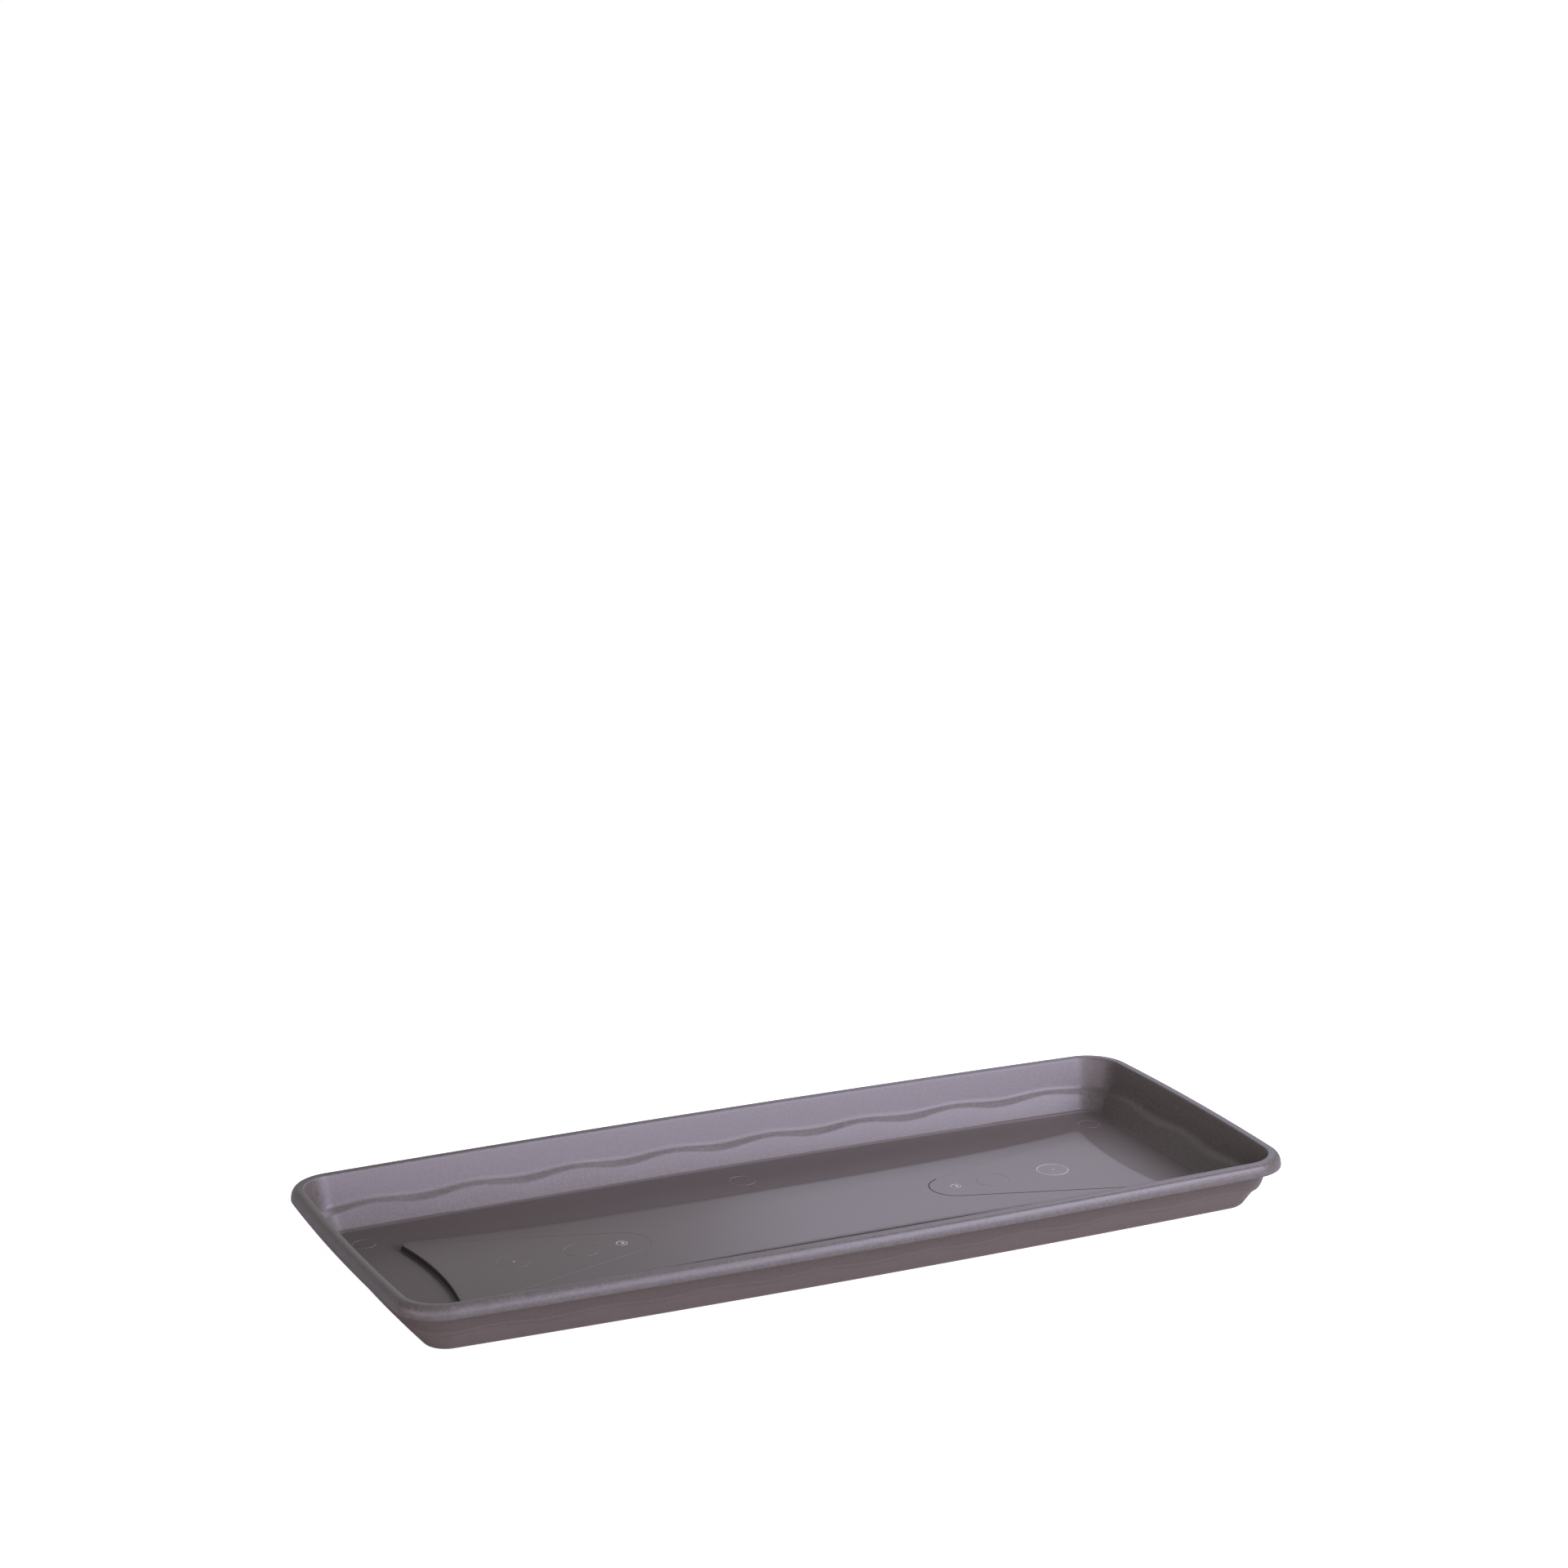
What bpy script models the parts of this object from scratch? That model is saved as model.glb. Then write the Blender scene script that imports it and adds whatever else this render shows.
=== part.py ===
# A rectangular plant saucer for a window box: one injection-moulded tray with a rolled rim,
# a wavy step round its walls and a raised floor panel with hollowed sides.
# Metres, +Z up. The origin is the centre of the footprint, on the surface the saucer stands on.

import math

import bmesh
import bpy

# Overall size
LENGTH = 0.500             # along X, over the rim
WIDTH = 0.210              # along Y, over the rim
HEIGHT = 0.030             # from the ground to the top of the rim
SIDE_BOW = 0.004           # how far each long side swells out at its middle
END_BOW = 0.002            # how far each short side swells out at its middle
WALL = 0.0018              # moulded thickness, the same everywhere

# Rolled rim
RIM_GAP = 0.0027           # open gap between the hanging lip and the wall behind it
RIM_DROP = 0.0068          # top of the rim down to the edge of the lip
RIM_SQUARENESS = 2.4       # 2 is a plain quarter ellipse, more is a fuller roll
RIM_CORNER = 0.024         # corner radius of the rim, seen from above

# Walls
UPPER_LEAN = math.radians(15.0)   # slope of the wall under the rim
LEDGE_LEAN = math.radians(62.0)   # slope of the narrow ledge above the step
LEDGE_DEPTH = 0.0025       # how far the ledge draws in from the upper wall to the step
KNEE_RISE = 0.0022         # the upper wall starts to bend into the ledge this far above it
STEP_HEIGHT = 0.0118       # mean height of the wavy step above the ground
LOWER_LEAN = math.radians(32.0)   # slope of the wall below the step
WAVE_COUNT = 22            # waves once round the saucer
WAVE_RISE = 0.00125        # the step swings this far above and below its mean height

# Floor
FLOOR_FILLET = 0.0022      # radius between the lower wall and the floor
FLOOR_CORNER = 0.009       # corner radius of the flat floor, seen from above
PANEL_END_MARGIN = 0.027   # flat floor between its end and the corners of the raised panel
PANEL_SIDE_MARGIN = 0.0315  # flat floor between its side and the corners of the raised panel
PANEL_SIDE_HOLLOW = 0.0131  # how far the panel's long sides curve in
PANEL_SIDE_FLARE = 3.3     # 2 is an even curve, more keeps the middle straight and flares the corners
PANEL_END_HOLLOW = 0.0045  # how far the panel's short sides curve in
PANEL_RISE = 0.0028        # height of the panel above the floor
PANEL_DRAFT = 0.0003       # the panel's edge leans in by this much
PANEL_INNER_CORNER = 0.0022  # corner radius of the hollow under the panel

# Faces along the outline, on a quarter of it, and round the curves of the section
SIDE_STEPS = 26
CORNER_STEPS = 8
END_STEPS = 10
ROLL_STEPS = 5
LEDGE_STEPS = 3
FILLET_STEPS = 2
TANGENT_ROUNDS = 8         # rounds that settle where a corner arc meets the bowed sides
SHARP_EDGE = math.radians(35.0)   # edges that turn more than this are shaded as creases

# Sizes that follow from the ones above
RIM_WIDTH = RIM_GAP + 2 * WALL
KNEE_HEIGHT = STEP_HEIGHT + LEDGE_DEPTH / math.tan(LEDGE_LEAN)
STEP_INSET = RIM_WIDTH + (HEIGHT - KNEE_HEIGHT) * math.tan(UPPER_LEAN) + LEDGE_DEPTH
FILLET_REACH = FLOOR_FILLET * math.tan((math.pi / 2 - LOWER_LEAN) / 2)
WALL_FOOT_INSET = STEP_INSET + (STEP_HEIGHT - WALL) * math.tan(LOWER_LEAN)
FLOOR_INSET = WALL_FOOT_INSET + FILLET_REACH


def clear_scene():
    for item in list(bpy.data.objects):
        bpy.data.objects.remove(item, do_unlink=True)


def quarter_outline(half_length, half_width, side_bow, end_bow, corner, side_power):
    """A quarter of a rounded rectangle with bowed sides, from the middle of the +Y side
    to the middle of the +X side. The corner arc runs on smoothly from both sides."""
    side_turn = 0.0
    end_turn = 0.0
    for _ in range(TANGENT_ROUNDS):
        centre_x = half_length - end_bow - corner * math.cos(end_turn)
        centre_y = half_width - side_bow - corner * math.cos(side_turn)
        side_reach = centre_x + corner * math.sin(side_turn)
        end_reach = centre_y + corner * math.sin(end_turn)
        side_turn = math.atan(side_power * side_bow / side_reach)
        end_turn = math.atan(2 * end_bow / end_reach)
    points = []
    for step in range(SIDE_STEPS):
        along = step / SIDE_STEPS
        points.append((side_reach * along, half_width - side_bow * along ** side_power))
    for step in range(CORNER_STEPS):
        turn = side_turn + (math.pi / 2 - end_turn - side_turn) * step / CORNER_STEPS
        points.append((centre_x + corner * math.sin(turn), centre_y + corner * math.cos(turn)))
    for step in range(END_STEPS):
        along = 1 - step / END_STEPS
        points.append((half_length - end_bow * along ** 2, end_reach * along))
    return points + [(half_length, 0.0)]


def full_outline(half_length, half_width, side_bow, end_bow, corner, side_power=2.0):
    """The closed outline, clockwise from the middle of the +Y side."""
    quarter = quarter_outline(half_length, half_width, side_bow, end_bow, corner, side_power)
    right_back = quarter[:-1]
    right_front = [(x, -y) for x, y in quarter[:0:-1]]
    left_front = [(-x, -y) for x, y in right_back]
    left_back = [(-x, y) for x, y in quarter[:0:-1]]
    return right_back + right_front + left_front + left_back


def wall_outline(inset):
    """The saucer's outline at a distance inside the rim, with corners that tighten to the floor's."""
    corner = RIM_CORNER + (FLOOR_CORNER - RIM_CORNER) * inset / FLOOR_INSET
    return full_outline(LENGTH / 2 - inset, WIDTH / 2 - inset, SIDE_BOW, END_BOW, corner)


def panel_outline(outset):
    """The raised panel's outline: sides that curve inwards, drawn out by a small distance."""
    half_length = LENGTH / 2 - FLOOR_INSET - END_BOW - PANEL_END_MARGIN - PANEL_END_HOLLOW
    half_width = WIDTH / 2 - FLOOR_INSET - SIDE_BOW - PANEL_SIDE_MARGIN - PANEL_SIDE_HOLLOW
    corner = PANEL_INNER_CORNER + WALL + outset
    return full_outline(half_length + outset, half_width + outset,
                        -PANEL_SIDE_HOLLOW, -PANEL_END_HOLLOW, corner, PANEL_SIDE_FLARE)


def wave_heights():
    """Height of the step above its mean at each station: low at the middle of the long sides,
    high at the middle of the short sides, even along the length of the outline."""
    outline = wall_outline(STEP_INSET)
    travelled = [0.0]
    for here, after in zip(outline, outline[1:] + outline[:1]):
        travelled.append(travelled[-1] + math.dist(here, after))
    turns = 2 * math.pi * WAVE_COUNT / travelled[-1]
    return [-WAVE_RISE * math.cos(turns * length) for length in travelled[:-1]]


def rim_section():
    """The rolled rim from the edge of the lip, over the top, to the crisp inner edge."""
    points = []
    power = 2 / RIM_SQUARENESS
    for step in range(ROLL_STEPS + 1):
        turn = math.pi / 2 * step / ROLL_STEPS
        inset = RIM_WIDTH * (1 - max(math.cos(turn), 0.0) ** power)
        height = HEIGHT - RIM_DROP * (1 - math.sin(turn) ** power)
        points.append((inset, height))
    return points


def ledge_section(wave):
    """The bend from the straight upper wall into the ledge, and the ledge down to the step.
    The step slides up and down the line of the lower wall, and the ledge follows it."""
    step_end = (STEP_INSET - wave * math.tan(LOWER_LEAN), STEP_HEIGHT + wave)
    wall_inset = RIM_WIDTH + (HEIGHT - step_end[1]) * math.tan(UPPER_LEAN)
    rise = (step_end[0] - wall_inset) / (math.tan(LEDGE_LEAN) - math.tan(UPPER_LEAN))
    knee = (step_end[0] - rise * math.tan(LEDGE_LEAN), step_end[1] + rise)
    top = (knee[0] - KNEE_RISE * math.tan(UPPER_LEAN), knee[1] + KNEE_RISE)
    points = []
    for step in range(LEDGE_STEPS + 1):
        t = step / LEDGE_STEPS
        parts = zip(top, knee, step_end)
        points.append(tuple((1 - t) ** 2 * p + 2 * t * (1 - t) * q + t ** 2 * r for p, q, r in parts))
    return points


def foot_section():
    """The fillet from the lower wall to the flat floor."""
    points = []
    sweep = math.pi / 2 - LOWER_LEAN
    for step in range(FILLET_STEPS + 1):
        turn = sweep * (1 - step / FILLET_STEPS)
        inset = FLOOR_INSET - FLOOR_FILLET * math.sin(turn)
        height = WALL + FLOOR_FILLET * (1 - math.cos(turn))
        points.append((inset, height))
    return points


def behind(section):
    """The same section one wall thickness behind, with its corners mitred. The section runs
    from the lip over the rim to the floor, so its back is on the outside and underneath."""
    normals = []
    for (inset, height), (next_inset, next_height) in zip(section, section[1:]):
        run, rise = next_inset - inset, next_height - height
        span = math.hypot(run, rise)
        normals.append((rise / span, -run / span))
    floor_normal = (0.0, -1.0)
    points = []
    for point, before, after in zip(section, normals[:1] + normals, normals + [floor_normal]):
        stretch = WALL / (1 + before[0] * after[0] + before[1] * after[1])
        points.append(tuple(p + stretch * (m + n) for p, m, n in zip(point, before, after)))
    return points


def wall_rings():
    """Rings from the flat underside out to the lip, over the rim and in to the flat floor."""
    sections = []
    for wave in wave_heights():
        face = rim_section() + ledge_section(wave) + foot_section()
        sections.append(behind(face)[::-1] + face)
    rings = []
    for places in zip(*sections):
        outlines = {inset: wall_outline(inset) for inset, height in places}
        rings.append([(*outlines[inset][station], height)
                      for station, (inset, height) in enumerate(places)])
    return rings


def panel_rings(outset, ground):
    """The foot and the top edge of the raised panel, or of the hollow under it."""
    foot = [(x, y, ground) for x, y in panel_outline(PANEL_DRAFT + outset)]
    top = [(x, y, ground + PANEL_RISE) for x, y in panel_outline(outset)]
    return [foot, top]


def loft_solid(name, rings):
    """A closed solid lofted through rings of equal count, with the end rings filled flat."""
    mesh = bpy.data.meshes.new(name)
    bm = bmesh.new()
    loops = [[bm.verts.new(point) for point in ring] for ring in rings]
    count = len(loops[0])
    for outer, inner in zip(loops, loops[1:]):
        for here in range(count):
            after = (here + 1) % count
            bm.faces.new((outer[after], outer[here], inner[here], inner[after]))
    ends = [bm.faces.new(loops[0]), bm.faces.new(loops[-1][::-1])]
    bmesh.ops.triangulate(bm, faces=ends, ngon_method='BEAUTY')
    bm.to_mesh(mesh)
    bm.free()
    return mesh


def plastic_material(name):
    material = bpy.data.materials.new(name)
    material.use_nodes = True
    shader = material.node_tree.nodes["Principled BSDF"]
    shader.inputs["Base Color"].default_value = (0.165, 0.140, 0.150, 1.0)
    shader.inputs["Roughness"].default_value = 0.45
    shader.inputs["Metallic"].default_value = 0.0
    return material


def build_tray():
    underside = panel_rings(-WALL, 0.0)
    inside = panel_rings(0.0, WALL)
    mesh = loft_solid("tray", underside[::-1] + wall_rings() + inside)
    mesh.materials.append(plastic_material("taupe_plastic"))
    mesh.shade_smooth()
    mesh.set_sharp_from_angle(angle=SHARP_EDGE)
    tray = bpy.data.objects.new("tray", mesh)
    bpy.context.scene.collection.objects.link(tray)


clear_scene()
build_tray()
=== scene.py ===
# Plant saucer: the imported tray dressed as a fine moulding, with its floor, light and camera
import math

import bmesh
import bpy
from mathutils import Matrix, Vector


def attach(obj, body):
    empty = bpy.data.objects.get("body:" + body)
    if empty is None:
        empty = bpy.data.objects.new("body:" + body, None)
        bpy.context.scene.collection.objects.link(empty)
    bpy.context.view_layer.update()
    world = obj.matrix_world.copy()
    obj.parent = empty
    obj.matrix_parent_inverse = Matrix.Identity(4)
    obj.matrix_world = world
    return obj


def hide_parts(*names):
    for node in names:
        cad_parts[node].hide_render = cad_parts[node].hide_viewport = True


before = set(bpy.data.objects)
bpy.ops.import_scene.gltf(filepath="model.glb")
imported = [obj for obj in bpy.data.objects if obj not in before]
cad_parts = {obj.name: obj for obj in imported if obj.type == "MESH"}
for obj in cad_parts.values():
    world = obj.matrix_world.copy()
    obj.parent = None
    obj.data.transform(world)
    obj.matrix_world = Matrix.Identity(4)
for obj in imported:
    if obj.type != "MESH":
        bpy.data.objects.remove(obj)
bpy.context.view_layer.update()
scene = bpy.context.scene
scene.view_settings.view_transform = 'Standard'
print("frame loaded:", sorted(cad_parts))


# Small helpers
def dropSelection():
    if bpy.context.object and bpy.context.object.mode != 'OBJECT':
        bpy.ops.object.mode_set(mode='OBJECT')
    bpy.ops.object.select_all(action='DESELECT')


def useOnly(piece):
    dropSelection()
    piece.select_set(True)
    bpy.context.view_layer.objects.active = piece


def finishWith(piece, kind, **settings):
    useOnly(piece)
    modifier = piece.modifiers.new(kind.lower(), kind)
    for name, value in settings.items():
        setattr(modifier, name, value)
    bpy.ops.object.modifier_apply(modifier=modifier.name)


def mm(length):
    return length / 1000


# Tray
tray = {
    "length": mm(500), "width": mm(210), "height": mm(30),
    "sideBow": mm(4), "endBow": mm(2),              # how far the sides swell out at their middles
    "wall": mm(1.8),
    "rimWidth": mm(6.3), "rimDrop": mm(6.8), "rimSquareness": 2.4, "rimCorner": mm(24),
    "rimCrown": mm(4.0), "rimFall": mm(0.3),        # the top falls away from its crown to the inner edge
    "upperLean": math.radians(15), "ledgeLean": math.radians(50), "lowerLean": math.radians(32),
    "ledgeDepth": mm(2.5), "stepHeight": mm(11.8), "waveCount": 22, "waveRise": mm(1.25),
    "kneeAbove": mm(2.2), "kneeBelow": mm(1.2),     # soft hollow between the wall and the ledge
    "ridgeAbove": mm(1.1), "ridgeBelow": mm(1.5), "ridgeLip": mm(0.22),   # rounded ridge that stands proud
    "floorFillet": mm(2.8), "floorCorner": mm(9),
    "panelEndMargin": mm(26.7), "panelSideMargin": mm(31.2),
    "panelEndHollow": mm(4.5), "panelSideHollow": mm(10), "panelSideFlare": 3.3,
    "panelRise": mm(2.8), "panelDraft": mm(0.3), "panelCorner": mm(4),
    "edgeRound": mm(0.5), "sharpFrom": math.radians(40), "creaseFrom": math.radians(28),
    "holdingLoop": mm(1.2), "upperLoops": (0.15, 0.5),   # extra loops that keep the flats flat
}
steps = {"side": 72, "corner": 30, "end": 30, "roll": 14, "knee": 7, "ridge": 7, "fillet": 8,
         "edge": 4, "settle": 8}

quarterSteps = steps["side"] + steps["corner"] + steps["end"]
stationCount = 4 * quarterSteps
kneeHeight = tray["stepHeight"] + tray["ledgeDepth"] / math.tan(tray["ledgeLean"])
stepInset = (tray["rimWidth"] + (tray["height"] - kneeHeight) * math.tan(tray["upperLean"])
             + tray["ledgeDepth"])
filletReach = tray["floorFillet"] * math.tan((math.pi / 2 - tray["lowerLean"]) / 2)
floorLevel = tray["wall"]
panelLevel = floorLevel + tray["panelRise"]
floorInset = stepInset + (tray["stepHeight"] - floorLevel) * math.tan(tray["lowerLean"]) + filletReach


def solveOutline(halfLength, halfWidth, sideBow, endBow, corner, sidePower=2.0):
    sideTurn = endTurn = 0.0
    for settle in range(steps["settle"]):           # the corner arc has to meet both bowed sides
        centreX = halfLength - endBow - corner * math.cos(endTurn)
        centreY = halfWidth - sideBow - corner * math.cos(sideTurn)
        sideReach = centreX + corner * math.sin(sideTurn)
        endReach = centreY + corner * math.sin(endTurn)
        sideTurn = math.atan(sidePower * sideBow / sideReach)
        endTurn = math.atan(2 * endBow / endReach)
    return {"halfLength": halfLength, "halfWidth": halfWidth, "sideBow": sideBow, "endBow": endBow,
            "corner": corner, "centre": (centreX, centreY), "turns": (sideTurn, endTurn),
            "reaches": (sideReach, endReach), "sidePower": sidePower}


def quarterPoint(shape, step):
    if step < steps["side"]:
        along = step / steps["side"]
        fall = shape["sideBow"] * along ** shape["sidePower"]
        return shape["reaches"][0] * along, shape["halfWidth"] - fall
    step -= steps["side"]
    if step < steps["corner"]:
        first, last = shape["turns"][0], math.pi / 2 - shape["turns"][1]
        turn = first + (last - first) * step / steps["corner"]
        return (shape["centre"][0] + shape["corner"] * math.sin(turn),
                shape["centre"][1] + shape["corner"] * math.cos(turn))
    along = 1 - (step - steps["corner"]) / steps["end"]
    return shape["halfLength"] - shape["endBow"] * along ** 2, shape["reaches"][1] * along


def outlinePoint(shape, station):                   # clockwise from the middle of the back side
    quarter, step = divmod(station, quarterSteps)
    if quarter % 2:
        step = quarterSteps - step
    x, y = quarterPoint(shape, step)
    return (x if quarter < 2 else -x), (y if quarter in (0, 3) else -y)


def wallShape(inset):
    corner = tray["rimCorner"] + (tray["floorCorner"] - tray["rimCorner"]) * min(inset / floorInset, 1.0)
    return solveOutline(tray["length"] / 2 - inset, tray["width"] / 2 - inset,
                        tray["sideBow"], tray["endBow"], corner)


def panelShape(outset):
    halfLength = (tray["length"] / 2 - floorInset - tray["endBow"] - tray["panelEndMargin"]
                  - tray["panelEndHollow"])
    halfWidth = (tray["width"] / 2 - floorInset - tray["sideBow"] - tray["panelSideMargin"]
                 - tray["panelSideHollow"])
    return solveOutline(halfLength + outset, halfWidth + outset, -tray["panelSideHollow"],
                        -tray["panelEndHollow"], tray["panelCorner"] + outset, tray["panelSideFlare"])


def waveHeights():                                  # low in the middle of the long sides
    shape = wallShape(stepInset)
    outline = [outlinePoint(shape, station) for station in range(stationCount)]
    travelled = [0.0]
    for here, after in zip(outline, outline[1:] + outline[:1]):
        travelled.append(travelled[-1] + math.dist(here, after))
    turns = 2 * math.pi * tray["waveCount"] / travelled[-1]
    return [-tray["waveRise"] * math.cos(turns * length) for length in travelled[:-1]]


def bend(start, middle, end, t):                    # a point on a curve pulled towards its middle
    return tuple((1 - t) ** 2 * a + 2 * t * (1 - t) * b + t ** 2 * c
                 for a, b, c in zip(start, middle, end))


def slide(start, lean, drop):                       # down a straight stretch of the section
    return start[0] + drop * math.tan(lean), start[1] - drop


def rimSection():                                   # a roll up to the crown, then a slope inwards
    power = 2 / tray["rimSquareness"]
    points = []
    for step in range(steps["roll"] + 1):
        turn = math.pi / 2 * step / steps["roll"]
        points.append((tray["rimCrown"] * (1 - math.cos(turn) ** power),
                       tray["height"] - tray["rimDrop"] * (1 - math.sin(turn) ** power)))
    corner = (tray["rimWidth"], tray["height"])
    return points + [slide(corner, tray["upperLean"], tray["rimFall"])]


def wallSection(wave):
    upper, ledge, lower = tray["upperLean"], tray["ledgeLean"], tray["lowerLean"]
    rimEdge = (tray["rimWidth"], tray["height"])
    crease = slide((stepInset, tray["stepHeight"]), lower, -wave)
    wallAtCrease = rimEdge[0] + (rimEdge[1] - crease[1]) * math.tan(upper)
    kneeRise = (crease[0] - wallAtCrease) / (math.tan(ledge) - math.tan(upper))
    knee = slide(crease, ledge, -kneeRise)
    kneeTop = slide(knee, upper, -tray["kneeAbove"])
    kneeEnd = slide(knee, ledge, tray["kneeBelow"] * math.cos(ledge))
    ridgeTop = slide(crease, ledge, -tray["ridgeAbove"] * math.cos(ledge))
    ridgeEnd = slide(crease, lower, tray["ridgeBelow"])
    points = [slide(rimEdge, upper, (rimEdge[1] - kneeTop[1]) * share) for share in tray["upperLoops"]]
    points += [bend(kneeTop, knee, kneeEnd, step / steps["knee"]) for step in range(steps["knee"] + 1)]
    proud = (crease[0] + tray["ridgeLip"], crease[1])
    points += [bend(ridgeTop, proud, ridgeEnd, step / steps["ridge"])
               for step in range(steps["ridge"] + 1)]
    return points


def footSection():
    sweep = math.pi / 2 - tray["lowerLean"]
    points = []
    for step in range(steps["fillet"] + 1):
        turn = sweep * (1 - step / steps["fillet"])
        points.append((floorInset - tray["floorFillet"] * math.sin(turn),
                       floorLevel + tray["floorFillet"] * (1 - math.cos(turn))))
    return points + [(floorInset + tray["holdingLoop"], floorLevel)]


def trayRings():
    sections = [rimSection() + wallSection(wave) + footSection() for wave in waveHeights()]
    rings = []
    for places in zip(*sections):
        shapes = {inset: wallShape(inset) for inset, height in places}
        rings.append([(*outlinePoint(shapes[inset], station), height)
                      for station, (inset, height) in enumerate(places)])
    for outset, level in ((tray["panelDraft"] + tray["holdingLoop"], floorLevel),
                          (tray["panelDraft"], floorLevel), (0.0, panelLevel),
                          (-tray["wall"] - tray["holdingLoop"], panelLevel)):
        shape = panelShape(outset)
        rings.append([(*outlinePoint(shape, station), level) for station in range(stationCount)])
    return rings


def placeRing(mesh, ring):                          # the selected loop goes to its place in the section
    bm = bmesh.from_edit_mesh(mesh)
    stationOf = bm.verts.layers.int["station"]
    for vert in bm.verts:
        if vert.select:
            vert.co = ring[vert[stationOf]]
    bmesh.update_edit_mesh(mesh)


def modelTray():
    rings = trayRings()
    dropSelection()
    bpy.ops.mesh.primitive_circle_add(vertices=stationCount, radius=tray["width"] / 2)
    piece = bpy.context.object
    piece.name = piece.data.name = "saucerTray"
    stationOf = piece.data.attributes.new("station", 'INT', 'POINT')
    for station, value in enumerate(stationOf.data):
        value.value = station
    bpy.ops.object.mode_set(mode='EDIT')
    bpy.ops.mesh.select_all(action='SELECT')
    placeRing(piece.data, rings[0])
    for ring in rings[1:]:                          # lip, rim, wall, floor and panel, loop by loop
        bpy.ops.mesh.extrude_edges_move()
        placeRing(piece.data, ring)
    bpy.ops.mesh.edge_face_add()                    # the panel's flat top
    bpy.ops.mesh.select_all(action='SELECT')
    bpy.ops.object.mode_set(mode='OBJECT')
    if max(piece.data.polygons, key=lambda face: face.area).normal.z < 0:
        bpy.ops.object.mode_set(mode='EDIT')
        bpy.ops.mesh.flip_normals()
        bpy.ops.object.mode_set(mode='OBJECT')
    piece.data.attributes.remove(piece.data.attributes["station"])
    print("tray skin:", len(rings), "loops of", stationCount)
    finishWith(piece, 'SOLIDIFY', thickness=tray["wall"], offset=-1.0, use_even_offset=True,
               use_quality_normals=True)
    finishWith(piece, 'BEVEL', width=tray["edgeRound"], segments=steps["edge"], limit_method='ANGLE',
               angle_limit=tray["sharpFrom"])
    return piece


saucerTray = modelTray()
print("tray moulded:", len(saucerTray.data.polygons), "faces")


# Witness marks of the mould, cut into the floor and the panel
marks = {
    "gateOffset": mm(97), "sleeveOffset": mm(119.5), "pinOffset": mm(156.5),   # both ways along the panel
    "gateNub": mm(1.3), "pinDot": mm(0.7), "nubFlatness": 0.35, "lineDepth": mm(0.14),
    "panelRings": [                                 # place, side, radius, line, finish
        ("gateOffset", 1, mm(2.8), mm(0.6), "paleMark"),
        ("gateOffset", -1, mm(2.8), mm(0.6), "paleMark"),
        ("sleeveOffset", 1, mm(9), mm(0.18), "faintMark"),
        ("sleeveOffset", -1, mm(9), mm(0.3), "faintMark"),
        # the right pin's ring is wide and pale, its left twin faint: the extra paleness is a painted
        # highlight
        ("pinOffset", 1, mm(8.5), mm(0.65), "paleMark"),
        ("pinOffset", -1, mm(8.5), mm(0.18), "faintMark"),
    ],
    "floorRings": [                                 # x, y, radius, line, all four ways
        (0.0, mm(63), mm(7), mm(0.3)),
        (mm(215), mm(62), mm(6), mm(0.3)),
    ],
    "pinSheenRadius": mm(8.3),                          # paler disc inside the right pin's ring, a painted sheen of its flat face
    "insertRadius": mm(14.5), "insertFlare": math.radians(17), "insertReach": mm(104),
    "insertLine": mm(0.7), "insertShadeTo": mm(8),   # painted shade in the right insert's groove, but not on its far leg
    "flatWithin": mm(0.01), "sunkWithin": mm(0.25), "lineSpread": mm(0.1),   # which faces a mark takes
    "weld": mm(0.001),
}
markSteps = {"ring": 64, "ringLine": 16, "insert": 96, "insertLine": 3, "nub": 24, "nubRings": 12}


def ringSpots():                                    # every ring as x, y, level, radius, line, finish
    spots = {(side * marks[place], 0.0, panelLevel, radius, line, finish)
             for place, side, radius, line, finish in marks["panelRings"]}
    spots |= {(sideX * x, sideY * y, floorLevel, radius, line, "faintMark")
              for x, y, radius, line in marks["floorRings"] for sideX in (1, -1) for sideY in (1, -1)}
    return sorted(spots)


def ringCutter(x, y, level, radius, line):
    depth = min(marks["lineDepth"], line / 2)
    dropSelection()
    bpy.ops.mesh.primitive_torus_add(location=(x, y, level + line - depth),
                                     major_radius=radius, major_segments=markSteps["ring"],
                                     minor_radius=line, minor_segments=markSteps["ringLine"])
    return bpy.context.object


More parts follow.
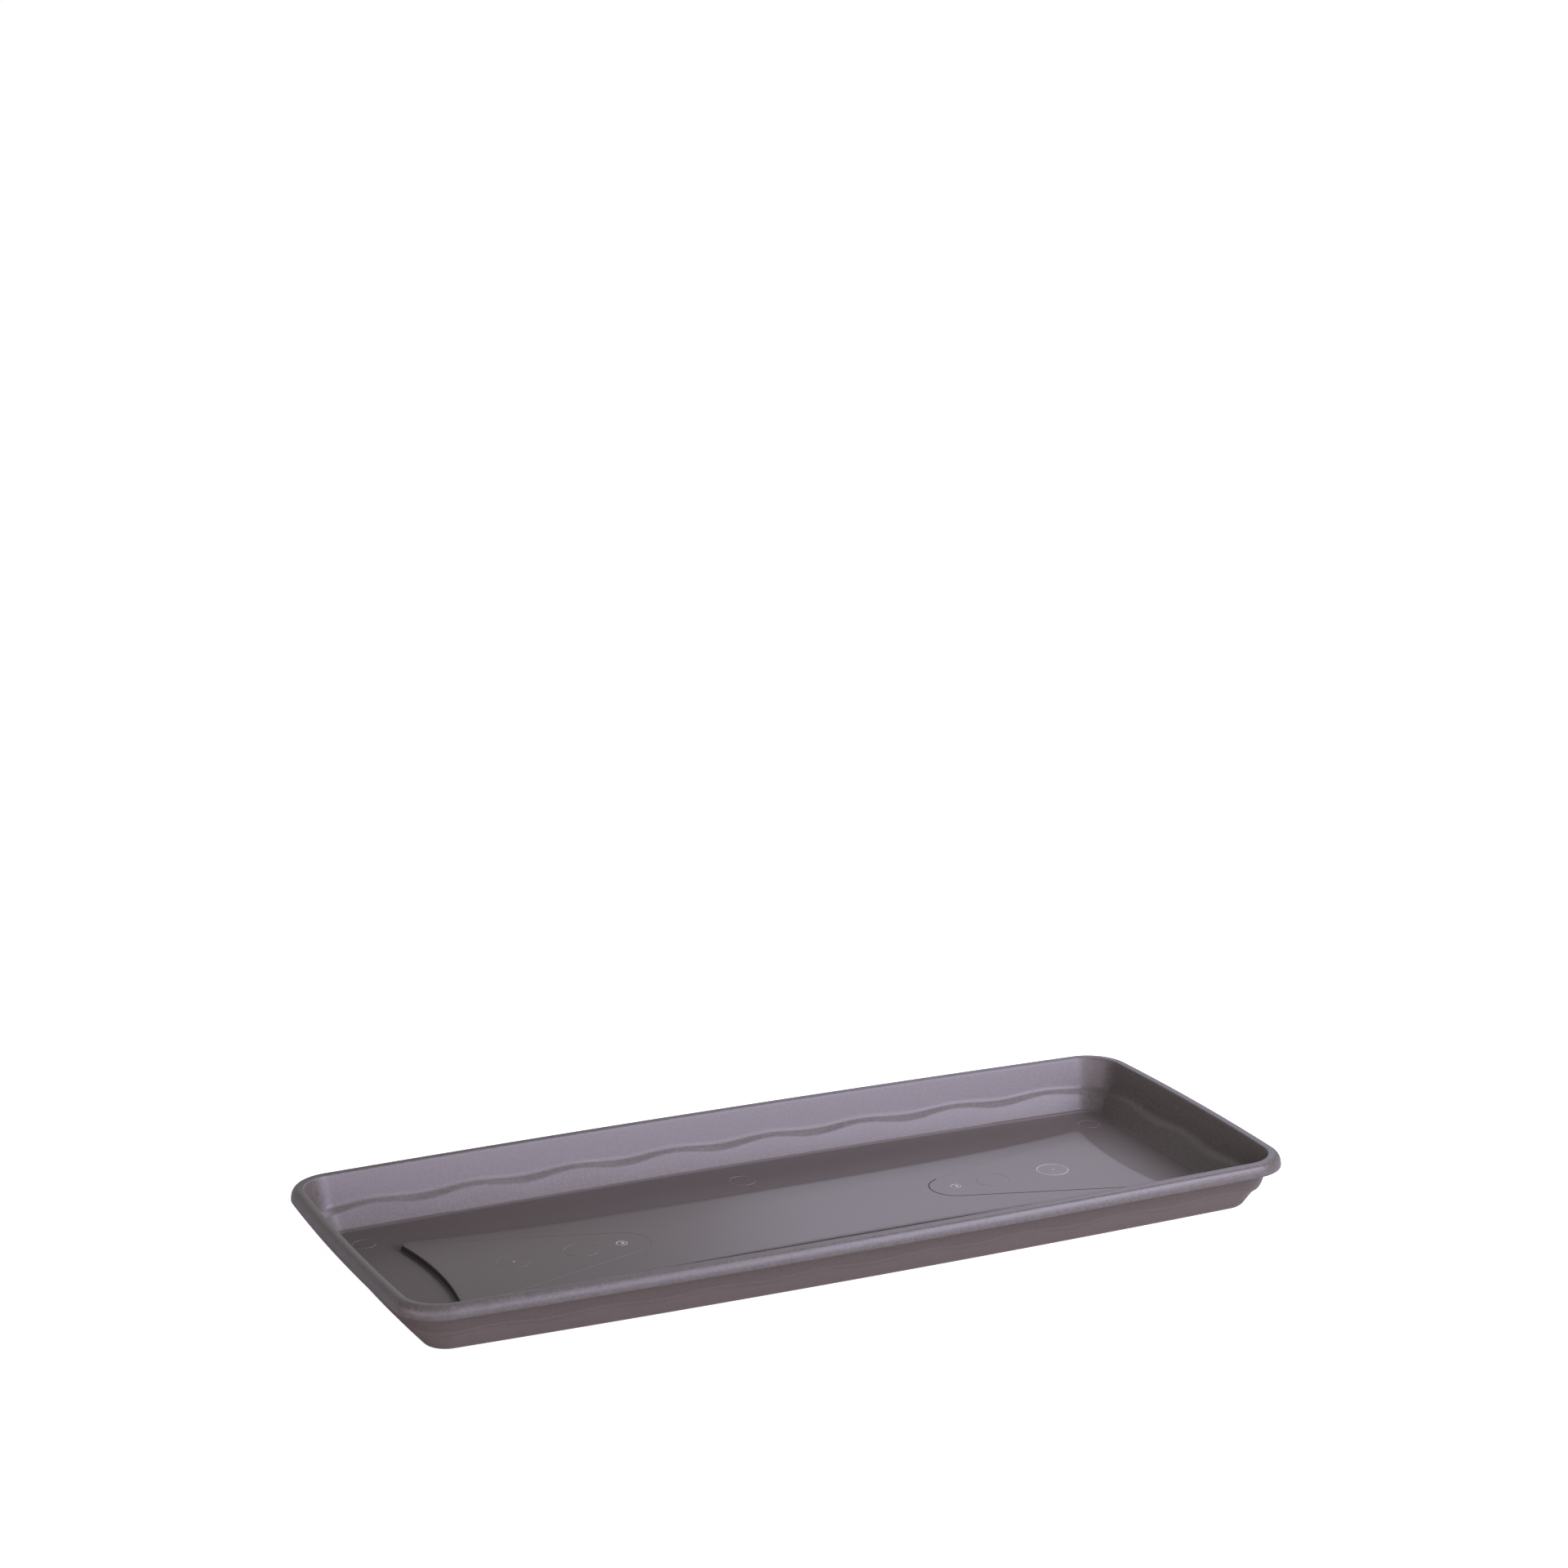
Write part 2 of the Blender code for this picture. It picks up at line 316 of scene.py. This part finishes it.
def insertCutter(side):                             # round end by the gate, sides flaring to the corners
    lift = marks["insertLine"] - marks["lineDepth"]
    dropSelection()
    bpy.ops.mesh.primitive_circle_add(vertices=markSteps["insert"], radius=marks["insertRadius"],
                                      location=(side * marks["gateOffset"], 0, panelLevel + lift))
    line = bpy.context.object
    bpy.ops.object.mode_set(mode='EDIT')
    bpy.ops.mesh.select_all(action='DESELECT')
    bm = bmesh.from_edit_mesh(line.data)
    openFrom = -marks["insertRadius"] * math.sin(marks["insertFlare"])
    for vert in bm.verts:
        vert.select = vert.co.x * side > openFrom
    bm.select_flush_mode()
    bmesh.update_edit_mesh(line.data)
    bpy.ops.mesh.delete(type='VERT')
    for edge in (1, -1):                            # the two straight sides
        bpy.ops.mesh.select_all(action='DESELECT')
        bm = bmesh.from_edit_mesh(line.data)
        tip = max((v for v in bm.verts if v.co.y * edge > 0), key=lambda v: v.co.x * side)
        tip.select = True
        bmesh.update_edit_mesh(line.data)
        reach = marks["insertReach"]
        bpy.ops.mesh.extrude_vertices_move(TRANSFORM_OT_translate={"value": (
            side * reach * math.cos(marks["insertFlare"]),
            edge * reach * math.sin(marks["insertFlare"]), 0)})
    bpy.ops.object.mode_set(mode='OBJECT')
    bpy.ops.object.convert(target='CURVE')
    line = bpy.context.object
    line.data.bevel_depth = marks["insertLine"]
    line.data.bevel_resolution = markSteps["insertLine"]
    line.data.use_fill_caps = True
    bpy.ops.object.convert(target='MESH')
    bpy.ops.object.mode_set(mode='EDIT')
    bpy.ops.mesh.select_all(action='SELECT')
    bpy.ops.mesh.remove_doubles(threshold=marks["weld"])
    bpy.ops.mesh.normals_make_consistent(inside=False)
    bpy.ops.object.mode_set(mode='OBJECT')
    return bpy.context.object


def nubAt(x, radius):                               # what is left of a gate, or the dot of a pin
    dropSelection()
    bpy.ops.mesh.primitive_uv_sphere_add(segments=markSteps["nub"], ring_count=markSteps["nubRings"],
                                         radius=radius, location=(x, 0, panelLevel))
    bpy.ops.transform.resize(value=(1, 1, marks["nubFlatness"]))
    return bpy.context.object


def markTray(piece):
    cutters = [insertCutter(side) for side in (1, -1)]
    cutters += [ringCutter(*spot) for *spot, finish in ringSpots()]
    for cutter in cutters:
        finishWith(piece, 'BOOLEAN', operation='DIFFERENCE', object=cutter, solver='MANIFOLD')
        bpy.data.objects.remove(cutter, do_unlink=True)
    for side in (1, -1):
        for place, size in (("gateOffset", "gateNub"), ("pinOffset", "pinDot")):
            nub = nubAt(side * marks[place], marks[size])
            finishWith(piece, 'BOOLEAN', operation='UNION', object=nub, solver='MANIFOLD')
            bpy.data.objects.remove(nub, do_unlink=True)
    useOnly(piece)
    bpy.ops.object.shade_smooth_by_angle(angle=tray["creaseFrom"])


markTray(saucerTray)
print("marks cut:", len(saucerTray.data.polygons), "faces")


# Node helpers
def node(tree, kind, **inputs):
    made = tree.nodes.new(kind)
    for name, value in inputs.items():
        made.inputs[name].default_value = value
    return made


def newGroup(name, inputs, outputs):
    tree = bpy.data.node_groups.new(name, 'ShaderNodeTree')
    for label, value in inputs.items():
        socket = tree.interface.new_socket(label, in_out='INPUT', socket_type='NodeSocketFloat')
        socket.default_value = value
    for label, kind in outputs.items():
        tree.interface.new_socket(label, in_out='OUTPUT', socket_type=kind)
    return tree, tree.nodes.new('NodeGroupInput'), tree.nodes.new('NodeGroupOutput')


# Spark-eroded grain of the mould, as a height and a tone
grainShape = {"detail": 3.0, "roughness": 0.6, "coarseDetail": 1.0, "coarseScale": 0.4,
              "toneFrom": 0.35, "toneTo": 0.65}


def makeGrainGroup():
    tree, given, made = newGroup("sparkGrain", {"Size": 900.0, "Coarse Share": 0.35},
                                 {"Height": 'NodeSocketFloat', "Tone": 'NodeSocketFloat'})
    link = tree.links.new
    place = tree.nodes.new('ShaderNodeTexCoord')
    fine = node(tree, 'ShaderNodeTexNoise', Detail=grainShape["detail"], Roughness=grainShape["roughness"])
    coarseScale = tree.nodes.new('ShaderNodeMath')
    coarseScale.operation = 'MULTIPLY'
    coarseScale.inputs[1].default_value = grainShape["coarseScale"]
    coarse = node(tree, 'ShaderNodeTexNoise', Detail=grainShape["coarseDetail"])
    mix = tree.nodes.new('ShaderNodeMix')
    link(place.outputs["Object"], fine.inputs["Vector"])
    link(place.outputs["Object"], coarse.inputs["Vector"])
    link(given.outputs["Size"], fine.inputs["Scale"])
    link(given.outputs["Size"], coarseScale.inputs[0])
    link(coarseScale.outputs[0], coarse.inputs["Scale"])
    link(given.outputs["Coarse Share"], mix.inputs[0])
    link(fine.outputs["Fac"], mix.inputs[2])
    link(coarse.outputs["Fac"], mix.inputs[3])
    link(mix.outputs[0], made.inputs["Height"])
    tone = node(tree, 'ShaderNodeMapRange')
    tone.inputs["From Min"].default_value = grainShape["toneFrom"]
    tone.inputs["From Max"].default_value = grainShape["toneTo"]
    link(mix.outputs[0], tone.inputs["Value"])
    link(tone.outputs[0], made.inputs["Tone"])
    return tree


# Slow streaks of pigment, drawn out along the flow of the plastic
flowShape = {"detail": 4.0, "roughness": 0.55, "distortion": 0.6}


def makeFlowGroup():
    tree, given, made = newGroup("flowStreaks", {"Stretch": 0.3, "Size": 60.0},
                                 {"Streak": 'NodeSocketFloat'})
    link = tree.links.new
    place = tree.nodes.new('ShaderNodeTexCoord')
    apart = tree.nodes.new('ShaderNodeSeparateXYZ')
    along = tree.nodes.new('ShaderNodeMath')
    along.operation = 'MULTIPLY'
    together = tree.nodes.new('ShaderNodeCombineXYZ')
    noise = node(tree, 'ShaderNodeTexNoise', Detail=flowShape["detail"],
                 Roughness=flowShape["roughness"], Distortion=flowShape["distortion"])
    link(place.outputs["Object"], apart.inputs[0])
    link(apart.outputs["X"], along.inputs[0])
    link(given.outputs["Stretch"], along.inputs[1])
    link(along.outputs[0], together.inputs["X"])
    link(apart.outputs["Y"], together.inputs["Y"])
    link(apart.outputs["Z"], together.inputs["Z"])
    link(together.outputs[0], noise.inputs["Vector"])
    link(given.outputs["Size"], noise.inputs["Scale"])
    link(noise.outputs["Fac"], made.inputs["Streak"])
    return tree


grainGroup = makeGrainGroup()
flowGroup = makeFlowGroup()


def plasticFinish(name, settings):
    material = bpy.data.materials.new(name)
    material.use_nodes = True
    tree = material.node_tree
    link = tree.links.new
    shader = tree.nodes["Principled BSDF"]
    shader.inputs["Specular IOR Level"].default_value = settings["specular"]
    grain = tree.nodes.new('ShaderNodeGroup')
    grain.node_tree = grainGroup
    grain.inputs["Size"].default_value = settings["grainSize"]
    grain.inputs["Coarse Share"].default_value = settings["coarseShare"]
    flow = tree.nodes.new('ShaderNodeGroup')
    flow.node_tree = flowGroup
    flow.inputs["Stretch"].default_value = settings["flowStretch"]
    flow.inputs["Size"].default_value = settings["flowSize"]

    streaked = tree.nodes.new('ShaderNodeMix')
    streaked.data_type = 'RGBA'
    streaked.inputs[6].default_value = (*settings["darkTone"], 1)
    streaked.inputs[7].default_value = (*settings["lightTone"], 1)
    link(flow.outputs["Streak"], streaked.inputs[0])
    speckled = tree.nodes.new('ShaderNodeMix')
    speckled.data_type = 'RGBA'
    speckled.blend_type = 'MULTIPLY'
    speckled.inputs[0].default_value = settings["speckle"]
    link(streaked.outputs[2], speckled.inputs[6])
    link(grain.outputs["Tone"], speckled.inputs[7])
    link(speckled.outputs[2], shader.inputs["Base Color"])

    rough = node(tree, 'ShaderNodeMapRange')
    rough.inputs["To Min"].default_value = settings["roughness"][0]
    rough.inputs["To Max"].default_value = settings["roughness"][1]
    link(grain.outputs["Tone"], rough.inputs["Value"])
    link(rough.outputs[0], shader.inputs["Roughness"])

    bump = node(tree, 'ShaderNodeBump', Strength=settings["grainStrength"])
    bump.inputs["Distance"].default_value = settings["grainDepth"]
    link(grain.outputs["Height"], bump.inputs["Height"])
    link(bump.outputs[0], shader.inputs["Normal"])
    return material


# Finishes of the one plastic; some tones carry painted shade and painted light
grainedWall = {
    "darkTone": (0.100, 0.084, 0.069), "lightTone": (0.113, 0.095, 0.078),
    "roughness": (0.40, 0.48), "specular": 0.52, "speckle": 0.42,
    "grainSize": 1400.0, "coarseShare": 0.40, "grainStrength": 1.0, "grainDepth": mm(0.08),
    "flowStretch": 0.3, "flowSize": 40.0,
}
# outer wall under the lip: lower gloss, and a darker tone that is painted shade of the lip
outerWallPaintedShade = dict(grainedWall, specular=0.11, speckle=0.15, grainDepth=mm(0.03),
                 darkTone=(0.0790, 0.0676, 0.0564), lightTone=(0.0820, 0.0702, 0.0588))
# down-facing outer wall below the step: lighter tone, painted bounce light from the floor
outerFootPaintedLight = dict(outerWallPaintedShade, darkTone=(0.0960, 0.0815, 0.0680), lightTone=(0.0995, 0.0845, 0.0705))
# rolled rim: lower gloss, and a darker tone than the walls that is painted shade of its top
rolledRimPaintedShade = {
    "darkTone": (0.084, 0.074, 0.063), "lightTone": (0.095, 0.084, 0.071),
    "roughness": (0.36, 0.44), "specular": 0.36, "speckle": 0.40,
    "grainSize": 1400.0, "coarseShare": 0.40, "grainStrength": 1.0, "grainDepth": mm(0.03),
    "flowStretch": 0.3, "flowSize": 40.0,
}
satinFloor = {
    "darkTone": (0.096, 0.081, 0.067), "lightTone": (0.108, 0.091, 0.075),
    "roughness": (0.30, 0.36), "specular": 0.13, "speckle": 0.06,
    "grainSize": 1300.0, "coarseShare": 0.5, "grainStrength": 0.1, "grainDepth": mm(0.04),
    "flowStretch": 0.25, "flowSize": 36.0,
}
satinPanel = dict(satinFloor, roughness=(0.28, 0.30), specular=0.24, grainStrength=0.02, speckle=0.0,
                  darkTone=(0.091, 0.077, 0.064), lightTone=(0.103, 0.087, 0.072))
# pale tone of the gate marks and the right pin ring, partly a painted highlight
paleMark = dict(satinPanel, darkTone=(0.34, 0.31, 0.29), lightTone=(0.38, 0.35, 0.33))
faintMark = dict(satinPanel, darkTone=(0.15, 0.13, 0.11), lightTone=(0.17, 0.15, 0.13))
# paler disc inside the right pin ring only: painted sheen
pinDiscSheen = dict(satinPanel, darkTone=(0.112, 0.096, 0.083), lightTone=(0.126, 0.108, 0.093))
# near-black tone of the right insert's groove: painted shade, not the plastic's colour
paintedGrooveShade = dict(satinPanel, darkTone=(0.020, 0.016, 0.013), lightTone=(0.026, 0.021, 0.017), specular=0.05)


# Where one finish gives way to the next: slopes of the faces, and a share of the fillet
limits = {"faceUp": 0.2, "rimTop": 0.9, "faceOut": -0.02, "underStep": -0.4, "filletShare": 0.25}
ringMarks = ringSpots()


def ringFinish(x, y):
    for centreX, centreY, level, radius, line, finish in ringMarks:
        off = math.hypot(x - centreX, y - centreY) - radius
        if abs(off) < line + marks["lineSpread"]:
            return finish
    return None


def onInsert(x, y):
    along, across, flare = abs(x) - marks["gateOffset"], abs(y), marks["insertFlare"]
    if along < -marks["insertRadius"] * math.sin(flare):
        off = math.hypot(along, across)
    else:
        off = across * math.cos(flare) - along * math.sin(flare)
    return abs(off - marks["insertRadius"]) < marks["insertLine"] + marks["lineSpread"]


def markAt(x, y, z):
    flat = marks["flatWithin"]
    if panelLevel + flat < z < panelLevel + marks["gateNub"] and abs(y) < marks["gateNub"]:
        return "paleMark"
    # the right pin's disc takes the painted sheen
    if abs(z - panelLevel) < flat and math.hypot(x - marks["pinOffset"], y) < marks["pinSheenRadius"]:
        return "pinDiscSheen"
    if not any(flat < level - z < marks["sunkWithin"] for level in (floorLevel, panelLevel)):
        return None
    # the right insert's round end and front leg take the painted groove shade
    shaded = x > 0 and (y < marks["insertShadeTo"] or x < marks["gateOffset"])
    return ringFinish(x, y) or ("paintedGrooveShade" if shaded and onInsert(x, y) else None)


def finishAt(face):
    x, y, z = face.center
    overFloor = abs(x) < tray["length"] / 2 - floorInset and abs(y) < tray["width"] / 2 - floorInset
    if overFloor and z < panelLevel + marks["gateNub"] and face.normal.z > limits["faceUp"]:
        onPanel = z > panelLevel - tray["edgeRound"]
        return markAt(x, y, z) or ("satinPanel" if onPanel else "satinFloor")
    if overFloor and z < panelLevel or z < floorLevel + tray["floorFillet"] * limits["filletShare"]:
        return "satinFloor"
    outward = face.normal.x * x + face.normal.y * y > limits["faceOut"]
    overRim = z > tray["height"] - tray["rimDrop"] - tray["wall"] / 2
    # rim top and lip take the darker tone, painted shade
    if overRim and (outward or face.normal.z > limits["rimTop"]):
        return "rolledRimPaintedShade"
    # outward faces above the step take the darker tone, painted shade of the lip
    if outward:
        # down-facing faces below the step take the lighter tone, painted bounce light
        return "outerFootPaintedLight" if face.normal.z < limits["underStep"] else "outerWallPaintedShade"
    return "grainedWall"


def dressTray(piece):
    finishes = {"grainedWall": grainedWall, "outerWallPaintedShade": outerWallPaintedShade, "outerFootPaintedLight": outerFootPaintedLight,
                "rolledRimPaintedShade": rolledRimPaintedShade, "satinFloor": satinFloor, "satinPanel": satinPanel,
                "paleMark": paleMark, "faintMark": faintMark, "pinDiscSheen": pinDiscSheen, "paintedGrooveShade": paintedGrooveShade}
    order = list(finishes)
    piece.data.materials.clear()
    for name, settings in finishes.items():
        piece.data.materials.append(plasticFinish(name, settings))
    for face in piece.data.polygons:
        face.material_index = order.index(finishAt(face))
    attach(piece, "root")
    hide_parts("tray")


dressTray(saucerTray)
print("tray dressed")


# Floor and backdrop
studio = {
    "floorSize": 12.0, "floorDrop": mm(0.3),
    "bounceColor": (0.95, 0.88, 0.72), "seenColor": (0.92, 0.91, 0.90),
    "lift": 0.85, "whiteFrom": 0.35, "whiteTo": 0.7, "mirrorLevel": 0.7,
    "fill": 0.05, "fillColor": (1.0, 1.0, 1.0),
}


def seenRays(tree):                                 # camera, mirror and glass rays see the backdrop
    path = tree.nodes.new('ShaderNodeLightPath')
    total = path.outputs["Is Camera Ray"]
    for name in ("Is Glossy Ray", "Is Transmission Ray"):
        both = tree.nodes.new('ShaderNodeMath')
        both.operation = 'MAXIMUM'
        tree.links.new(total, both.inputs[0])
        tree.links.new(path.outputs[name], both.inputs[1])
        total = both.outputs[0]
    return total


def backdropLevel(tree):                            # white to the camera, a little less in mirrors
    path = tree.nodes.new('ShaderNodeLightPath')
    level = node(tree, 'ShaderNodeMapRange')
    level.inputs["To Min"].default_value = studio["mirrorLevel"]
    level.inputs["To Max"].default_value = 1.0
    tree.links.new(path.outputs["Is Camera Ray"], level.inputs["Value"])
    return level.outputs[0]


def makeFloor():
    dropSelection()
    bpy.ops.mesh.primitive_plane_add(size=studio["floorSize"], location=(0, 0, -studio["floorDrop"]))
    floor = bpy.context.object
    floor.name = "studioFloor"
    material = bpy.data.materials.new("paleFloor")
    material.use_nodes = True
    tree = material.node_tree
    tree.nodes.clear()
    link = tree.links.new
    out = tree.nodes.new('ShaderNodeOutputMaterial')
    bounce = node(tree, 'ShaderNodeBsdfDiffuse', Color=(*studio["bounceColor"], 1))
    seen = node(tree, 'ShaderNodeBsdfDiffuse', Color=(*studio["seenColor"], 1))
    lift = tree.nodes.new('ShaderNodeEmission')
    lifted = tree.nodes.new('ShaderNodeAddShader')
    white = tree.nodes.new('ShaderNodeEmission')
    place = tree.nodes.new('ShaderNodeTexCoord')
    away = tree.nodes.new('ShaderNodeVectorMath')
    away.operation = 'LENGTH'
    fade = node(tree, 'ShaderNodeMapRange')
    fade.interpolation_type = 'SMOOTHSTEP'
    fade.inputs["From Min"].default_value = studio["whiteFrom"]
    fade.inputs["From Max"].default_value = studio["whiteTo"]
    path = tree.nodes.new('ShaderNodeLightPath')
    liftSeen = tree.nodes.new('ShaderNodeMath')
    liftSeen.operation = 'MULTIPLY'
    liftSeen.inputs[1].default_value = studio["lift"]
    far = tree.nodes.new('ShaderNodeMixShader')
    pick = tree.nodes.new('ShaderNodeMixShader')
    link(place.outputs["Object"], away.inputs[0])
    link(away.outputs["Value"], fade.inputs["Value"])
    link(path.outputs["Is Camera Ray"], liftSeen.inputs[0])
    link(liftSeen.outputs[0], lift.inputs["Strength"])
    link(backdropLevel(tree), white.inputs["Strength"])
    link(seen.outputs[0], lifted.inputs[0])
    link(lift.outputs[0], lifted.inputs[1])
    link(fade.outputs[0], far.inputs[0])
    link(lifted.outputs[0], far.inputs[1])
    link(white.outputs[0], far.inputs[2])
    link(seenRays(tree), pick.inputs[0])
    link(bounce.outputs[0], pick.inputs[1])
    link(far.outputs[0], pick.inputs[2])
    link(pick.outputs[0], out.inputs[0])
    floor.data.materials.append(material)


def makeBackdrop():
    world = bpy.data.worlds.new("studioWorld")
    scene.world = world
    world.use_nodes = True
    tree = world.node_tree
    tree.nodes.clear()
    out = tree.nodes.new('ShaderNodeOutputWorld')
    fill = node(tree, 'ShaderNodeBackground', Color=(*studio["fillColor"], 1), Strength=studio["fill"])
    link = tree.links.new
    white = node(tree, 'ShaderNodeBackground', Color=(1, 1, 1, 1))
    pick = tree.nodes.new('ShaderNodeMixShader')
    link(backdropLevel(tree), white.inputs["Strength"])
    link(seenRays(tree), pick.inputs[0])
    link(fill.outputs[0], pick.inputs[1])
    link(white.outputs[0], pick.inputs[2])
    link(pick.outputs[0], out.inputs[0])


makeFloor()
makeBackdrop()


# Lamps
lampDistance = 1.4
lampColor = (1.0, 0.96, 1.29)                       # cool softboxes
lamps = [
    {"name": "keyLight", "azimuth": 38, "elevation": 28, "size": (0.7, 0.55), "power": 16.6},
    {"name": "lowLight", "azimuth": 20, "elevation": 9, "size": (0.9, 0.4), "power": 10.6},
    {"name": "frontLight", "azimuth": -24, "elevation": 14, "size": (0.5, 0.4), "power": 3.6},
    {"name": "topLight", "azimuth": 15, "elevation": 58, "size": (0.7, 0.5), "power": 1.0},
    {"name": "sideLight", "azimuth": 110, "elevation": 55, "size": (0.6, 0.6), "power": 7.0},
    {"name": "backLight", "azimuth": 144, "elevation": 28, "size": (0.6, 0.6), "power": 1.45},
    {"name": "leftLight", "azimuth": -66, "elevation": 9, "size": (1.3, 0.4), "power": 9.0,
     "color": (1.0, 0.88, 1.12)},
]


def direction(azimuth, elevation):                  # azimuth 0 is in front, towards -Y, and turns to +X
    turn, rise = math.radians(azimuth), math.radians(elevation)
    return Vector((math.sin(turn) * math.cos(rise), -math.cos(turn) * math.cos(rise), math.sin(rise)))


for lamp in lamps:
    dropSelection()
    toLamp = direction(lamp["azimuth"], lamp["elevation"])
    bpy.ops.object.light_add(type='AREA', location=toLamp * lampDistance)
    light = bpy.context.object
    light.name = lamp["name"]
    light.rotation_euler = toLamp.to_track_quat('Z', 'Y').to_euler()
    light.data.shape = 'RECTANGLE'
    light.data.size, light.data.size_y = lamp["size"]
    light.data.energy = lamp["power"]
    light.data.color = lamp.get("color", lampColor)
print("studio lit by", [lamp["name"] for lamp in lamps])


# Camera
camera = {"azimuth": -25.178, "elevation": 14.245, "distance": 1.8171, "aim": (-0.00496, 0.0, 0.23832),
          "focalPixels": 4371.4, "imagePixels": 1920, "sensor": 36.0, "farClip": 100.0}
backwards = direction(camera["azimuth"], camera["elevation"])
bpy.ops.object.camera_add(location=Vector(camera["aim"]) + backwards * camera["distance"])
photoCamera = bpy.context.object
photoCamera.name = "photoCamera"
photoCamera.rotation_euler = backwards.to_track_quat('Z', 'Y').to_euler()
photoCamera.data.sensor_width = camera["sensor"]
photoCamera.data.lens = camera["focalPixels"] / camera["imagePixels"] * camera["sensor"]
photoCamera.data.clip_end = camera["farClip"]
scene.camera = photoCamera
print("camera set, lens", round(photoCamera.data.lens, 2), "mm")
